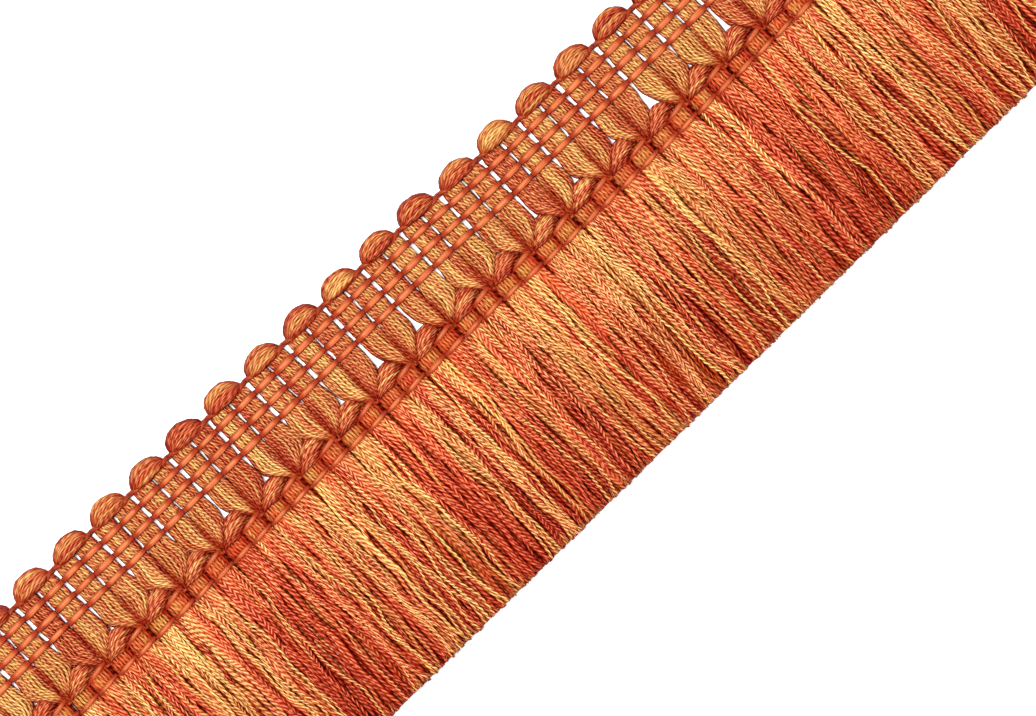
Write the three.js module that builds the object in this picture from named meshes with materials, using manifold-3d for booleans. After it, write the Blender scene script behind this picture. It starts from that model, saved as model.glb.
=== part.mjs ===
// A cut length of brush fringe trim, lying flat: a woven gimp heading with a scalloped edge, and a skirt of
// yarns cut to one length. Millimetres. X runs along the trim, +Y points from the yarn tips to the scalloped
// edge, and Z is up from the surface that the trim lies on. The origin is at the middle of its underside.
import * as THREE from "three";
import { mergeVertices } from "three/addons/utils/BufferGeometryUtils.js";
import Module from "manifold-3d";

// Driving dimensions
const trimWidth = 76.2; // from the lobe tops to the yarn tips: a three inch trim
const headingWidth = 30; // from the lobe tops to the last binder cord
const repeatCount = 24; // lobes along the cut length
const repeatPitch = 11.34; // one lobe, two columns, one fan and one leaf
const cordThickness = 0.6; // of a binder cord on the back
const floatHeight = 0.9; // of a binder cord on the face
const weftThickness = 1.8; // of the flat weft bundle in a column
const clearance = 0.3; // between pieces that touch in the real trim

// Derived sizes
const trimLength = repeatCount * repeatPitch;
const halfLength = trimLength / 2;
const cellPitch = repeatPitch / 2; // one column, and one stitch of every binder cord
const cellCount = 2 * repeatCount;
const lobeTop = trimWidth / 2;
const tipLine = -trimWidth / 2;
const weftUnderside = cordThickness + clearance;
const weftTopside = weftUnderside + weftThickness;
const floatUnderside = weftTopside + clearance;

// Where each binder cord crosses the heading, measured down from the lobe tops
const binderRows = [
  { row: 1, drop: 4.35, halfWidth: 0.42 },
  { row: 2, drop: 7.1, halfWidth: 0.65 },
  { row: 3, drop: 10.8, halfWidth: 0.65 },
  { row: 4, drop: 14.4, halfWidth: 0.65 },
  { row: 5, drop: 26.5, halfWidth: 0.5 },
  { row: 6, drop: 29.4, halfWidth: 0.5 },
];

// Materials, one for each kind of yarn
const weftYarn = new THREE.MeshStandardMaterial({ color: 0xd98648, roughness: 0.62, metalness: 0 });
const binderYarn = new THREE.MeshStandardMaterial({ color: 0xcc6238, roughness: 0.48, metalness: 0 });
const skirtYarn = new THREE.MeshStandardMaterial({ color: 0xc9693a, roughness: 0.6, metalness: 0 });

// A repeatable unevenness from -1 to 1 for the piece numbered index
function uneven(index, kind) {
  const turned = Math.sin(index * 12.9898 + kind * 78.233) * 43758.5453;
  return 2 * (turned - Math.floor(turned)) - 1;
}

// The heading lies a little lower past the middle of the length, and the yarn tips stay in line
const lieStart = 0;
const lieEnd = 24;
const lieDepth = 0.8;
const lieSteps = [0, 1 / 3, 2 / 3, 1]; // shares of the bend where a straight cord has a station

function lie(point) {
  const shareAlong = THREE.MathUtils.smoothstep(point.x, lieStart, lieEnd);
  const shareAcross = THREE.MathUtils.clamp((point.y - tipLine) / (trimWidth - headingWidth), 0, 1);
  return -lieDepth * shareAlong * shareAcross;
}

// Sections, in units of a station's half width across and its height up
const bundle = [[-1, 0], [1, 0], [0.74, 1], [-0.74, 1]];
const gable = [[-1, 0], [1, 0], [0, 1]];
const slab = [[-1, 0], [1, 0], [1, 1], [-1, 1]];

// One cross-section of a swept solid: at is its middle, side its half width across, and high its height
function across(left, right, z, high) {
  const at = new THREE.Vector3((left.x + right.x) / 2, (left.y + right.y) / 2, z);
  return { at, side: new THREE.Vector3(left.x - at.x, left.y - at.y, 0), high };
}

// The same for a line of stations, where the section stands square to the line and may roll round it
function station(x, y, z, wide, high, roll = 0) {
  return { at: new THREE.Vector3(x, y, z), wide, high, roll };
}

function sideOf(stations, index) {
  const { side, wide, roll } = stations[index];
  if (side) return side;
  const before = stations[Math.max(index - 1, 0)].at;
  const after = stations[Math.min(index + 1, stations.length - 1)].at;
  const forward = after.clone().sub(before).setZ(0).normalize();
  return new THREE.Vector3(0, 0, wide).cross(forward).setZ(roll);
}

// A closed solid whose section runs through the stations
function sweep(section, stations) {
  const shape = new THREE.Shape(section.map(([wide, up]) => new THREE.Vector2(wide, up)));
  const steps = stations.length - 1;
  const geometry = new THREE.ExtrudeGeometry(shape, { depth: steps, steps, bevelEnabled: false });
  const position = geometry.getAttribute("position");
  const moved = new THREE.Vector3();
  for (let i = 0; i < position.count; i++) {
    const index = Math.round(position.getZ(i));
    moved.copy(stations[index].at).addScaledVector(sideOf(stations, index), position.getX(i));
    moved.z += position.getY(i) * stations[index].high;
    moved.y += lie(moved);
    position.setXYZ(i, moved.x, moved.y, moved.z);
  }
  return geometry;
}

const wasm = await Module();
wasm.setup();

// One solid from several closed geometries that run into each other
function joined(geometries) {
  const solids = geometries.map((geometry) => {
    const bare = geometry.clone();
    bare.deleteAttribute("normal");
    bare.deleteAttribute("uv");
    const merged = mergeVertices(bare, 1e-4);
    const vertProperties = merged.getAttribute("position").array;
    const triVerts = new Uint32Array(merged.index.array);
    return new wasm.Manifold(new wasm.Mesh({ numProp: 3, vertProperties, triVerts }));
  });
  const mesh = wasm.Manifold.union(solids).getMesh();
  const geometry = new THREE.BufferGeometry();
  geometry.setAttribute("position", new THREE.BufferAttribute(mesh.vertProperties, 3));
  geometry.setIndex(new THREE.BufferAttribute(mesh.triVerts, 1));
  return geometry;
}

function repeatCentre(index) {
  return -halfLength + (index + 0.5) * repeatPitch;
}

// Weft: one bundle of yarns that snakes up a column, round a lobe and down the next column to a fan's pinch.
// Its inner and outer edges are offsets from the repeat's centre and drops from the lobe tops.
const lobeHalfLength = 4.7;
const lobeFootDrop = 3.6;
const lobeHeight = 2.6;
const lobeRise = 3.65; // of the lobe's curve over its foot, which its flat top cuts short
const lobeUneven = 0.2; // in its rise and in where it stands
const lobeTurns = [25, 68, 112, 155]; // degrees round the lobe, from its left foot
const columnStations = [
  { outer: 1.5, inner: 0.12, drop: 25.4, high: 1.5 },
  { outer: 3.35, inner: 0.15, drop: 22.4, high: 2.1 },
  { outer: 4.75, inner: 0.28, drop: 18.9, high: 2.2 },
  { outer: 5.19, inner: 0.35, drop: 15.2, high: weftThickness },
  { outer: 5.19, inner: 0.35, drop: 3.9, high: weftThickness },
];
const leafStations = [
  { offset: 0.9, drop: 24.7, lift: 0, wide: 0.6, high: 1.5 },
  { offset: 4.4, drop: 23.8, lift: 0.3, wide: 1.6, high: 2.1 },
  { offset: 6.8, drop: 23.2, lift: 0.3, wide: 2, high: 2.2 },
  { offset: 9.9, drop: 23.5, lift: 0, wide: 0.8, high: 1.7 },
];

function weftBend(index) {
  const centre = repeatCentre(index);
  const lean = lobeUneven * uneven(index, 2);
  const rise = lobeRise + lobeUneven * uneven(index, 1);
  const innerEdge = columnStations.at(-1).inner;
  const column = (side) => columnStations.map(({ outer, inner, drop, high }) => {
    const edges = [outer, inner].map((edge) => new THREE.Vector2(centre + side * edge, lobeTop - drop));
    return across(...edges, weftUnderside, high);
  });
  const lobe = lobeTurns.map((degrees) => {
    const turn = THREE.MathUtils.degToRad(degrees);
    const outer = new THREE.Vector2(
      centre + lean - lobeHalfLength * Math.cos(turn),
      lobeTop - lobeFootDrop + rise * Math.sin(turn),
    );
    const inner = new THREE.Vector2(centre - innerEdge * Math.cos(turn), lobeTop - lobeFootDrop);
    const high = THREE.MathUtils.lerp(weftThickness, lobeHeight, Math.sin(turn));
    return across(outer, inner, weftUnderside, high);
  });
  return sweep(bundle, [...column(-1), ...lobe, ...column(1).reverse()]);
}

// Leaf: the same bundle where it hops from one fan's pinch to the next
function weftLeaf(index) {
  const centre = repeatCentre(index);
  return sweep(bundle, leafStations.map(({ offset, drop, lift, wide, high }) =>
    station(centre + offset, lobeTop - drop, weftUnderside + lift, wide, high)));
}

function weft() {
  const parts = [];
  for (let index = 0; index < repeatCount; index++) {
    parts.push(weftBend(index));
    if (index < repeatCount - 1) parts.push(weftLeaf(index));
  }
  return joined(parts);
}

// Binder cord on the face: a float over every column, pinched between the columns
const pinchShare = 0.62; // of the float's width and height

function faceCord({ drop, halfWidth }) {
  const stations = [];
  for (let half = 0; half <= 2 * cellCount; half++) {
    const share = half % 2 ? 1 : pinchShare;
    const x = -halfLength + (half * cellPitch) / 2;
    stations.push(station(x, lobeTop - drop, floatUnderside, share * halfWidth, share * floatHeight));
  }
  return sweep(gable, stations);
}

// Binder cord on the back: straight, and what the heading lies on
const backHalfWidth = 0.6;

function backCord({ drop }) {
  const bend = lieSteps.map((share) => THREE.MathUtils.lerp(lieStart, lieEnd, share));
  const places = [-halfLength, ...bend, halfLength];
  return sweep(slab, places.map((x) => station(x, lobeTop - drop, 0, backHalfWidth, cordThickness)));
}

// Skirt: the bound roots of its yarns form a beaded strip, and the yarns hang from it in two layers
const stripTopDrop = 26.1;
const stripFootDrop = 29.9;
const beadDip = 0.3;
const strandsPerLayer = 5 * repeatCount;
const strandPitch = trimLength / strandsPerLayer;
const strandHalfWidth = 0.82;
const strandHeight = 1.3;
const strandStart = 0.3; // place of the first yarn, as a share of the pitch
const rootDepth = 0.3; // how far a yarn runs into the strip
const rootHeight = 0.6;
const rootNarrowing = 0.7; // of a yarn's width in the strip
const rootRoll = 0.08; // how far one edge of it is turned up there
const rootLift = { lower: 0.3, upper: 0.7, uneven: 0.04 }; // over the strip's underside
const settleLength = 4.3; // from there to where it lies level
const cutUneven = 0.6; // in the length of the yarns, each way

function rootStrip() {
  const y = lobeTop - (stripTopDrop + stripFootDrop) / 2;
  const wide = (stripFootDrop - stripTopDrop) / 2;
  const stations = [];
  for (let half = 0; half <= 2 * cellCount; half++) {
    const high = half % 2 ? weftThickness : weftThickness - beadDip;
    stations.push(station(-halfLength + (half * cellPitch) / 2, y, weftUnderside, wide, high));
  }
  return sweep(slab, stations);
}

// How far the yarns have leant along the trim at their tips: two slow waves that die out at its ends
const leanWaves = [{ depth: 0.7, length: 9, start: 0 }, { depth: 0.5, length: 3.7, start: 1 }];

function strandLean(x) {
  const endFade = 1 - (x / halfLength) ** 8;
  const waves = leanWaves.map(({ depth, length, start }) => depth * Math.sin(x / length + start));
  return endFade * waves.reduce((sum, wave) => sum + wave);
}

function strand(index, layer) {
  const x = -halfLength + (index + strandStart + layer / 2) * strandPitch;
  const rootY = lobeTop - stripFootDrop + rootDepth;
  const tipY = tipLine + cutUneven * (1 + uneven(index, 3 + layer));
  const rest = layer * (strandHeight + clearance);
  const lift = (layer ? rootLift.upper : rootLift.lower) + rootLift.uneven * uneven(index, 5 + layer);
  const rootHalfWidth = rootNarrowing * strandHalfWidth;
  return sweep(gable, [
    station(x, rootY, weftUnderside + lift, rootHalfWidth, rootHeight, rootRoll),
    station(x, rootY - settleLength, rest, strandHalfWidth, strandHeight),
    station(x + strandLean(x), tipY, rest, strandHalfWidth, strandHeight),
  ]);
}

function skirt() {
  const parts = [rootStrip()];
  for (const layer of [0, 1]) {
    for (let index = 0; index < strandsPerLayer; index++) parts.push(strand(index, layer));
  }
  return joined(parts);
}

function named(name, geometry, material) {
  const mesh = new THREE.Mesh(geometry, material);
  mesh.name = name;
  return mesh;
}

const trim = new THREE.Group();
trim.name = "brush_fringe_trim";
trim.add(named("weft_gimp", weft(), weftYarn));
for (const row of binderRows) {
  trim.add(named(`face_cord_${row.row}`, faceCord(row), binderYarn));
  trim.add(named(`back_cord_${row.row}`, backCord(row), binderYarn));
}
trim.add(named("skirt", skirt(), skirtYarn));

export default trim;
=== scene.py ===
import math

import bpy
import numpy as np
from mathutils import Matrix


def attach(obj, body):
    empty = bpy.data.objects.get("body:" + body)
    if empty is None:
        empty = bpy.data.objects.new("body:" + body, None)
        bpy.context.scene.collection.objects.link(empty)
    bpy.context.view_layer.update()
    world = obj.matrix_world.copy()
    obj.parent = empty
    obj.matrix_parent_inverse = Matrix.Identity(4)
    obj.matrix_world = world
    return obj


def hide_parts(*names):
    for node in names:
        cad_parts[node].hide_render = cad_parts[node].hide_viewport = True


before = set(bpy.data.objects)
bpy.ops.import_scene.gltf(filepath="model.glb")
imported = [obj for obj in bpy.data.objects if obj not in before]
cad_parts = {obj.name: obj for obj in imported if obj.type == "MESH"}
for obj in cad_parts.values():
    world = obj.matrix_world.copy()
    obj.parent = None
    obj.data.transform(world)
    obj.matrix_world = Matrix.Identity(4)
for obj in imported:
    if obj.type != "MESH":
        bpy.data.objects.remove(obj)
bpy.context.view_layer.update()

# Lengths are in mm until a mesh is written; X runs along the trim, Y to the lobes, Z up
mm = 0.001
trim = {
    "repeatCount": 24,
    "repeatPitch": 11.34,
    "lobeTop": 38.1,
    "tipDrop": 76.2,
    "sag": 0.8,  # the heading sinks this far towards its right end
    "sagRun": 24.0,
    "sagDepth": 46.2,  # and less the nearer to the tips, which stay in line
    "lowest": 0.03,  # nothing sinks into the surface that the trim lies on
    "seed": 11,
}
cellPitch = trim["repeatPitch"] / 2
cellCount = trim["repeatCount"] * 2
halfLength = trim["repeatCount"] * trim["repeatPitch"] / 2
rowDrops = [4.35, 7.1, 10.8, 14.4, 26.5, 29.4]
dice = np.random.default_rng(trim["seed"])


# Camera, straight above as in the photograph
camera = {
    "turn": -44.4,
    "aim": (-0.7, -2.5),
    "height": 1200.0,
    "lens": 197.5,
    "sensor": 36.0,
    "clip": (0.05, 50.0),  # in metres
}


def placeCamera():
    data = bpy.data.cameras.new("photoCamera")
    data.lens = camera["lens"]
    data.sensor_width = camera["sensor"]
    data.clip_start, data.clip_end = camera["clip"]
    cam = bpy.data.objects.new("photoCamera", data)
    cam.location = (camera["aim"][0] * mm, camera["aim"][1] * mm, camera["height"] * mm)
    cam.rotation_euler = (0, 0, math.radians(camera["turn"]))
    bpy.context.collection.objects.link(cam)
    bpy.context.scene.camera = cam


placeCamera()
print("camera placed")


# Shapes shared by all yarns
tube = {
    "uneven": 0.16,  # how far a yarn's twist tightens and slackens along it
    "cycles": (2, 5),  # and how often
    "girth": 2.2,  # the way around a tube over the sum of its half width and half height
}


def repeatCentre(index):
    return (index + 0.5) * trim["repeatPitch"] - halfLength


def cellCentre(index):
    return (index + 0.5) * cellPitch - halfLength


def smooth(value, low, high):
    t = np.clip((np.asarray(value, float) - low) / (high - low), 0, 1)
    return t * t * (3 - 2 * t)


# Three numbers for one of these are its amount and the two places between which it fades in or out,
# or the amount, middle and length of a hump
def fade(value, amount, low, high):
    return amount * smooth(value, low, high)


def fadeOut(value, amount, low, high):
    return amount * (1 - smooth(value, low, high))


def hump(value, amount, middle, length):
    return amount * np.exp(-((value - middle) / length) ** 2)


def waves(value, lengths, sizes, shifts):
    # a sum of sines stands in for slow noise, the same on every run
    total = np.zeros_like(np.asarray(value, float))
    for length, size, shift in zip(lengths, sizes, shifts):
        total = total + size * np.sin(2 * np.pi * (value / length + shift))
    return total


def atDrop(x, drop, z):
    # a point given by its distance below the lobe tops
    return np.stack(np.broadcast_arrays(x, trim["lobeTop"] - np.asarray(drop, float), z), axis=-1)


def lie(points):
    # the whole trim sags a little past its middle
    sink = smooth(points[..., 0], 0, trim["sagRun"])
    sink = sink * np.clip((points[..., 1] + trim["lobeTop"]) / trim["sagDepth"], 0, 1)
    points[..., 1] -= trim["sag"] * sink
    return points


def evenly(paths, rings, uneven=0.0):
    # the same paths with their points a constant distance apart, or nearly so where a twist varies
    out = np.empty((len(paths), rings, paths.shape[2]))
    part = np.linspace(0, 1, rings)
    for index, path in enumerate(paths):
        steps = np.linalg.norm(np.diff(path[:, :3], axis=0), axis=1)
        run = np.concatenate([[0], np.cumsum(steps)])
        places = part
        for cycles in tube["cycles"]:
            shift = dice.uniform()
            swing = np.sin(2 * np.pi * (cycles * part + shift)) - np.sin(2 * np.pi * shift)
            places = places + uneven * swing / (2 * np.pi * cycles)
        spots = run[-1] * places
        for axis in range(paths.shape[2]):
            out[index, :, axis] = np.interp(spots, run, path[:, axis])
    return out


def lengthOf(paths):
    return np.linalg.norm(np.diff(paths[..., :3], axis=1), axis=2).sum(axis=1)


def tonesAlong(tones, rings):
    # the dye of both plies at each ring: constant, or blended from a few places along the yarn
    tones = np.asarray(tones, float)
    if tones.ndim == 2:
        return np.repeat(tones[:, None], rings, axis=1)
    spots = np.linspace(0, tones.shape[1] - 1, rings)
    low = np.floor(spots).astype(int).clip(0, tones.shape[1] - 2)
    part = (spots - low)[None, :, None]
    return tones[:, low] * (1 - part) + tones[:, low + 1] * part


def yarnGroup(paths, wide, high, tones, sides=4, turn=2.3, twist=1, step=None, shade=None, taper=None,
              relief=1.0):
    # paths: yarns x points x 3. tones: yarns x 2, or yarns x places x 2, the dye of each ply. A
    # twisted tube turns by one corner from ring to ring, so its edges run along the plies and
    # nothing necks in. twist is 1 or -1 for the hand of the ply, and 0 for a smooth fibre. step is
    # given for plain tubes, which keep their corners in line. relief is how strongly plies stand out,
    # in their bump and in their painted highlight and painted shade.
    longest = float(lengthOf(paths).mean())
    spun = step is None
    step = turn / sides if spun else step
    rings = max(3, int(round(longest / step)) + 1)
    extra = np.zeros(paths.shape[:2] + (3,))
    extra[..., 0] = 1 if shade is None else shade
    extra[..., 1] = 1 if taper is None else taper
    extra[..., 2] = relief
    carried = np.concatenate([lie(paths.copy()), extra], axis=2)
    dense = evenly(carried, rings, tube["uneven"] if spun and twist else 0.0)
    spine, shades, scale = dense[..., :3], dense[..., 3], dense[..., 4]
    count = len(spine)
    ahead = np.gradient(spine, axis=1)
    ahead /= np.linalg.norm(ahead, axis=2, keepdims=True)
    side = np.cross(ahead, (0.0, 0.0, 1.0))
    side /= np.linalg.norm(side, axis=2, keepdims=True)
    up = np.cross(side, ahead)
    ring = np.arange(rings)[None, :, None]
    corner = np.arange(sides)[None, None, :]
    begin = dice.uniform(0, 2 * np.pi, count)[:, None, None] if spun else np.zeros((count, 1, 1))
    hand = twist if spun else 0
    section = 2 * np.pi * (corner - hand * ring) / sides + np.zeros((count, 1, 1))
    roll = 2 * np.pi * hand * ring / sides + begin
    a = wide * scale[..., None] * np.cos(section)
    b = high * scale[..., None] * np.sin(section)
    across = a * np.cos(roll) - b * np.sin(roll)
    lift = a * np.sin(roll) + b * np.cos(roll)
    points = spine[:, :, None] + side[:, :, None] * across[..., None] + up[:, :, None] * lift[..., None]
    points[..., 2] = np.maximum(points[..., 2], trim["lowest"])
    tones = tonesAlong(tones, rings)
    whole = (count, rings, sides)
    return {
        "points": points, "long": longest, "turns": twist * longest / turn, "hand": hand,
        "girth": tube["girth"] * (wide + high),
        "toneA": np.broadcast_to(tones[..., :1], whole), "toneB": np.broadcast_to(tones[..., 1:], whole),
        "shade": np.broadcast_to(shades[..., None], whole),
        "yarnNumber": np.broadcast_to(dice.uniform(0, 10, (count, 1, 1)), whole),
        "phase": np.broadcast_to(begin / (2 * np.pi), whole),
        "relief": np.broadcast_to(dense[..., 5:], whole),
    }


def groupFaces(rings, sides, hand):
    # triangles between the rings, cut along the plies, and a fan that closes each end; kind is 0
    # on the tube, 1 on its first end and 2 on its last
    i, k = np.meshgrid(np.arange(rings - 1), np.arange(sides), indexing="ij")
    i, k = i.ravel(), k.ravel()
    if hand > 0:
        corners = [(i, k), (i, k + 1), (i + 1, k + 1), (i, k), (i + 1, k + 1), (i + 1, k)]
    else:
        corners = [(i, k), (i, k + 1), (i + 1, k), (i, k + 1), (i + 1, k + 1), (i + 1, k)]
    ringOf = np.stack([c[0] for c in corners], axis=1).reshape(-1, 3)
    edgeOf = np.stack([c[1] for c in corners], axis=1).reshape(-1, 3)
    fan = np.arange(1, sides - 1)
    zero = np.zeros_like(fan)
    low = np.stack([zero, fan + 1, fan], axis=1)
    high = np.stack([zero, fan, fan + 1], axis=1)
    ringOf = np.concatenate([ringOf, np.zeros_like(low), np.full_like(high, rings - 1)])
    edgeOf = np.concatenate([edgeOf, low, high])
    kind = np.zeros(len(ringOf), int)
    kind[-2 * len(fan):-len(fan)] = 1
    kind[-len(fan):] = 2
    return ringOf, edgeOf, kind


# Margins inside each yarn's strip of the baked picture, and the small round places of its two ends
bakeStrip = {"side": 0.04, "end": 0.03, "capWide": 0.3, "capMiddle": 0.012, "capHigh": 0.009}


def bakeSpots(count, rings, sides, ringOf, edgeOf, kind, long, girth, band):
    # every yarn has its own upright strip, so the baked picture has no slivers and no overlaps
    height = band[1] - band[0]
    rows = max(1, round(math.sqrt(height * count * girth / long)))
    columns = math.ceil(count / rows)
    index = np.arange(count)
    left = (index % columns) / columns
    foot = band[0] + (index // columns) * height / rows
    u = bakeStrip["side"] + (1 - 2 * bakeStrip["side"]) * edgeOf / sides
    v = bakeStrip["end"] + (1 - 2 * bakeStrip["end"]) * ringOf / (rings - 1)
    turnOf = 2 * np.pi * edgeOf / sides
    capU = 0.5 + bakeStrip["capWide"] * np.cos(turnOf)
    capV = bakeStrip["capMiddle"] + bakeStrip["capHigh"] * np.sin(turnOf)
    u = np.where((kind > 0)[:, None], capU, u)
    v = np.where((kind == 1)[:, None], capV, v)
    v = np.where((kind == 2)[:, None], 1 - capV, v)
    u = left[:, None, None] + u[None] / columns
    v = foot[:, None, None] + v[None] * height / rows
    return np.stack([u, v], axis=-1)


def joinGroups(name, groups, material, nodes):
    areas = np.array([len(g["points"]) * g["long"] * g["girth"] for g in groups])
    edges = np.concatenate([[0], np.cumsum(areas / areas.sum())])
    points, faces, spots, plies = [], [], [], []
    values = {"toneA": [], "toneB": [], "shade": [], "yarnNumber": [], "phase": [], "relief": []}
    first = 0
    for group, low, high in zip(groups, edges[:-1], edges[1:]):
        count, rings, sides = group["points"].shape[:3]
        ringOf, edgeOf, kind = groupFaces(rings, sides, group["hand"])
        local = ringOf * sides + edgeOf % sides
        start = first + np.arange(count)[:, None, None] * rings * sides
        faces.append((start + local[None]).reshape(-1, 3))
        spots.append(bakeSpots(count, rings, sides, ringOf, edgeOf, kind,
                               group["long"], group["girth"], (low, high)).reshape(-1, 2))
        points.append(group["points"].reshape(-1, 3))
        ply = np.stack([edgeOf / sides, ringOf / (rings - 1) * group["turns"]], axis=-1)
        plies.append(np.tile(ply.reshape(-1, 2), (count, 1)))
        for key in values:
            values[key].append(group[key].ravel())
        first += count * rings * sides
    points = np.concatenate(points) * mm
    faces = np.concatenate(faces)
    mesh = bpy.data.meshes.new(name)
    mesh.vertices.add(len(points))
    mesh.vertices.foreach_set("co", points.ravel().astype(np.float32))
    mesh.loops.add(faces.size)
    mesh.loops.foreach_set("vertex_index", faces.ravel().astype(np.int32))
    mesh.polygons.add(len(faces))
    mesh.polygons.foreach_set("loop_start", np.arange(0, faces.size, 3, dtype=np.int32))
    mesh.polygons.foreach_set("use_smooth", np.ones(len(faces), bool))
    mesh.update(calc_edges=True)
    for key, parts in values.items():
        layer = mesh.attributes.new(key, "FLOAT", "POINT")
        layer.data.foreach_set("value", np.concatenate(parts).astype(np.float32))
    for key, parts in (("OFBake", spots), ("plyMap", plies)):
        layer = mesh.uv_layers.new(name=key)
        layer.data.foreach_set("uv", np.concatenate(parts).ravel().astype(np.float32))
    mesh.materials.append(material)
    piece = bpy.data.objects.new(name, mesh)
    bpy.context.collection.objects.link(piece)
    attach(piece, "root")
    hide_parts(*nodes)
    print(f"{name}: {len(faces)} triangles")


# Materials
class Wire:
    # one output of a node; sums on it add Math nodes, and node() adds any other
    def __init__(self, tree, socket=None):
        self.tree = tree
        self.socket = socket

    def node(self, kind, settings=None, sockets=None, out=0):
        made = self.tree.nodes.new(kind)
        for key, value in (settings or {}).items():
            if key == "stops":
                ramp = made.color_ramp
                while len(ramp.elements) < len(value):
                    ramp.elements.new(0.5)
                for element, (spot, colour) in zip(ramp.elements, value):
                    element.position = spot
                    element.color = colour
            else:
                setattr(made, key, value)
        for key, value in (sockets or {}).items():
            if isinstance(value, Wire):
                self.tree.links.new(value.socket, made.inputs[key])
            else:
                made.inputs[key].default_value = value
        return Wire(self.tree, made.outputs[out])

    def single(self, operation):
        return self.node("ShaderNodeMath", {"operation": operation}, {0: self})

    def sums(self, operation, first, second):
        return self.node("ShaderNodeMath", {"operation": operation}, {0: first, 1: second})

    def __add__(self, other):
        return self.sums("ADD", self, other)

    def __radd__(self, other):
        return self.sums("ADD", other, self)

    def __sub__(self, other):
        return self.sums("SUBTRACT", self, other)

    def __rsub__(self, other):
        return self.sums("SUBTRACT", other, self)

    def __mul__(self, other):
        return self.sums("MULTIPLY", self, other)

    def __rmul__(self, other):
        return self.sums("MULTIPLY", other, self)


def linear(red, green, blue):
    # a colour as seen on screen, 0 to 255, made into the linear values that nodes take
    parts = [c / 255 for c in (red, green, blue)]
    return tuple(c / 12.92 if c < 0.04045 else ((c + 0.055) / 1.055) ** 2.4 for c in parts) + (1.0,)


def newMaterial(name, finish):
    material = bpy.data.materials.new(name)
    material.use_nodes = True
    tree = material.node_tree
    shader = tree.nodes["Principled BSDF"]
    shader.inputs["Specular IOR Level"].default_value = finish["gloss"]
    shader.inputs["Specular Tint"].default_value = finish["glossTint"]
    return material, Wire(tree), shader


def attribute(wire, name, out):
    return wire.node("ShaderNodeAttribute", {"attribute_name": name}, out=out)


def blendColours(wire, kind, factor, first, second):
    settings = {"data_type": "RGBA", "blend_type": kind, "clamp_factor": True}
    return wire.node("ShaderNodeMix", settings, {0: factor, 6: first, 7: second}, out=2)


def remap(wire, value, given, wanted=(0.0, 1.0)):
    sockets = {"Value": value, "From Min": given[0], "From Max": given[1]}
    sockets.update({"To Min": wanted[0], "To Max": wanted[1]})
    return wire.node("ShaderNodeMapRange", {"interpolation_type": "SMOOTHSTEP"}, sockets)


def ramp(wire, stops, factor):
    return wire.node("ShaderNodeValToRGB", {"stops": stops}, {0: factor})


def noise(wire, parts, scale, detail):
    place = wire.node("ShaderNodeCombineXYZ", None, dict(enumerate(parts)))
    return wire.node("ShaderNodeTexNoise", None, {"Vector": place, "Scale": scale, "Detail": detail}, out=0)


def tubePlace(wire):
    # where a point lies on its tube: the share of a turn around it, and the turns of ply along it
    place = wire.node("ShaderNodeUVMap", {"uv_map": "plyMap"})
    return [wire.node("ShaderNodeSeparateXYZ", None, {0: place}, out=axis) for axis in (0, 1)]


def feed(wire, shader, finish, colour, rough, height):
    # what varies over a yarn or a cord goes to three sockets
    link = wire.tree.links.new
    link(colour.socket, shader.inputs["Base Color"])
    link(rough.socket, shader.inputs["Roughness"])
    sockets = {"Strength": finish["bump"], "Distance": 1.0, "Height": height}
    link(wire.node("ShaderNodeBump", None, sockets).socket, shader.inputs["Normal"])


# A ridge of 1 is the top of a ply and 0 the hollow between two; upward is 1 on top of the yarn and
# 0 on its sides. Each pair says where a tint fades in. Besides the dyes and the gloss, the tints here
# are painted highlight and painted shade: a painted highlight on the tops of the plies, painted shade
# on the sides of the yarn and in the hollows between plies, and painted shade that the shade
# attribute mixes in.
yarnFinish = {
    "dyes": [
        (0.00, linear(150, 36, 13)),
        (0.20, linear(173, 51, 20)),
        (0.42, linear(190, 80, 31)),
        (0.62, linear(188, 109, 55)),
        (0.80, linear(186, 131, 54)),
        (1.00, linear(210, 168, 88)),
    ],
    # painted highlight colours for each dye, how strongly they show, and where on the ply and the yarn
    "highlightRamp": [
        (0.00, linear(230, 118, 82)),
        (0.40, linear(240, 160, 118)),
        (0.70, linear(242, 190, 136)),
        (1.00, linear(246, 208, 146)),
    ],
    "highlightAmount": 0.74,
    "highlightRidge": (0.68, 1.0),
    "highlightUpward": (0.55, 0.97),
    # painted shade on the sides of a yarn, and where it fades in
    "flankShade": linear(222, 126, 74),
    "flankShadeUpward": (-0.1, 0.8),
    # painted shade in the hollows between plies, a broad tint and a narrow one
    "valley": linear(222, 144, 94),
    "valleyRidge": (0.1, 0.8),
    "groove": linear(218, 128, 76),
    "grooveRidge": (0.0, 0.35),
    # the colour of painted shade, mixed in as the shade attribute falls
    "shadeColour": linear(184, 80, 38),
    "plyEdge": (-0.12, 0.12),  # where the dye of one ply gives way to that of the other
    "fibre": {"spread": 31.0, "stretch": 1.4, "scale": 2.6, "detail": 3.0, "tone": 0.3, "rough": 0.2},
    "roughness": 0.42,
    "valleyRough": 0.14,
    "gloss": 0.28,
    "glossTint": linear(255, 214, 170),
    "fibreDepth": 0.00004,
    "plyDepth": 0.00012,
    "bump": 0.9,
}


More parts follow.
